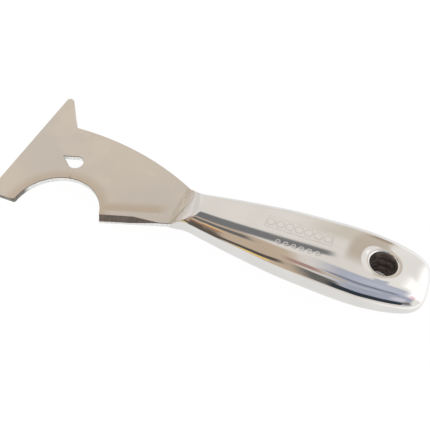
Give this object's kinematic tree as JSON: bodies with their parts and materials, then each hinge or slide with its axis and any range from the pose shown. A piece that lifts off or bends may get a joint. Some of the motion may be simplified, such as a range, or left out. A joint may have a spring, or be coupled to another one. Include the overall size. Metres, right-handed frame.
{
  "type": "hive tool",
  "caption": "All-steel hive tool with a wide scraping edge, pointed barb, round scraper notch, nail slot and a hollow polished handle with a hang hole.",
  "frame": {"origin": "on the axis of the hang hole, halfway through the handle's thickness", "axes": "+X along the tool towards the butt, +Y towards the barb's side, +Z out of the front face along the hang hole"},
  "size_m": [0.2087, 0.075, 0.0196],
  "materials": {
    "blade": "satin ground and tumbled stainless steel with faint tone patches and rolled edges",
    "handle": "mirror polished stainless steel with faint lengthwise polishing lines",
    "ground_weld": "ground stainless steel with coarse lines across the handle",
    "sleeve": "dull drawn stainless steel tube with a polished lip"
  },
  "bodies": {
    "root": {"blade": "blade", "front_shell": "handle", "rear_shell": "handle", "seam_weld": "handle", "neck_weld_front": "ground_weld", "neck_weld_rear": "ground_weld", "hang_sleeve": "sleeve", "sleeve_weld_front": "handle", "sleeve_weld_rear": "handle"}
  },
  "joints": []
}
